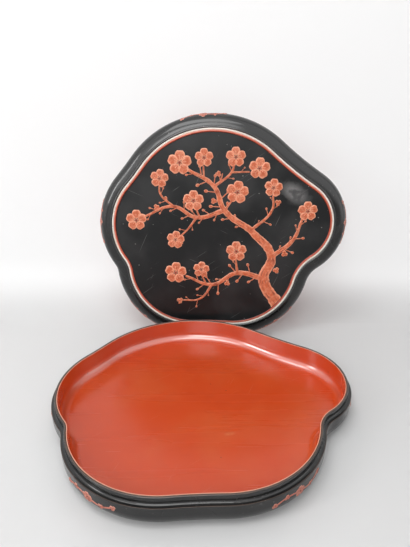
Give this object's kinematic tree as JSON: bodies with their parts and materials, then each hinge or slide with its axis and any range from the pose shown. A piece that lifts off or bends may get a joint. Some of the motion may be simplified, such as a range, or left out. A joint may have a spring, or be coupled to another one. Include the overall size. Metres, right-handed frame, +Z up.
{
  "type": "lacquered box",
  "caption": "Shallow lobed lacquered box: a black tray lined in red with an upstanding lip, and its loose lid with a raised red plum branch, stood open behind it.",
  "frame": {"origin": "the middle of the tray's underside, on the surface that it stands on", "axes": "+Z up, +Y to the back, where the lid stands, +X to the right as seen from the front"},
  "size_m": [0.367, 0.3885, 0.3056],
  "materials": {
    "black_lacquer": "glossy black lacquer on wood",
    "panel_lacquer": "satin black lacquer, finely scuffed",
    "red_lacquer": "semi-gloss vermilion lacquer on cloth and wood",
    "raised_red": "raised matt red lacquer, rubbed paler on its edges",
    "cream_line": "cream lacquer line"
  },
  "bodies": {
    "tray": {"tray_floor": "black_lacquer", "tray_lining": "red_lacquer", "tray_lip": "black_lacquer", "tray_sprig_back": "raised_red", "tray_sprig_front_left": "raised_red", "tray_sprig_front_right": "raised_red", "tray_sprig_left": "raised_red", "tray_sprig_right": "raised_red", "tray_wall": "black_lacquer"},
    "lid": {"lid_lining": "red_lacquer", "lid_panel": "panel_lacquer", "lid_sprig_back": "raised_red", "lid_sprig_front_left": "raised_red", "lid_sprig_front_right": "raised_red", "lid_sprig_left": "raised_red", "lid_sprig_right": "raised_red", "lid_wall": "black_lacquer", "panel_bead": "black_lacquer", "panel_line": "cream_line", "panel_red_bead": "raised_red", "plum_blossom_01": "raised_red", "plum_blossom_02": "raised_red", "plum_blossom_03": "raised_red", "plum_blossom_04": "raised_red", "plum_blossom_05": "raised_red", "plum_blossom_06": "raised_red", "plum_blossom_07": "raised_red", "plum_blossom_08": "raised_red", "plum_blossom_09": "raised_red", "plum_blossom_10": "raised_red", "plum_blossom_11": "raised_red", "plum_blossom_12": "raised_red", "plum_blossom_13": "raised_red", "plum_blossom_14": "raised_red", "plum_bough_left": "raised_red", "plum_bough_lower": "raised_red", "plum_bough_right": "raised_red", "plum_bough_upper": "raised_red", "plum_bud_01": "raised_red", "plum_bud_02": "raised_red", "plum_bud_03": "raised_red", "plum_bud_04": "raised_red", "plum_bud_05": "raised_red", "plum_bud_06": "raised_red", "plum_bud_07": "raised_red", "plum_bud_08": "raised_red", "plum_trunk": "raised_red", "plum_twig_centre": "raised_red", "plum_twig_crown": "raised_red", "plum_twig_down": "raised_red", "plum_twig_heart": "raised_red", "plum_twig_left": "raised_red", "plum_twig_low": "raised_red", "plum_twig_middle": "raised_red", "plum_twig_top": "raised_red", "plum_twig_up": "raised_red"}
  },
  "joints": [
    {"name": "lid_lift", "type": "slide", "parent": "tray", "child": "lid", "axis": [0, 0, 1], "range_m": [0, 0.15]}
  ]
}
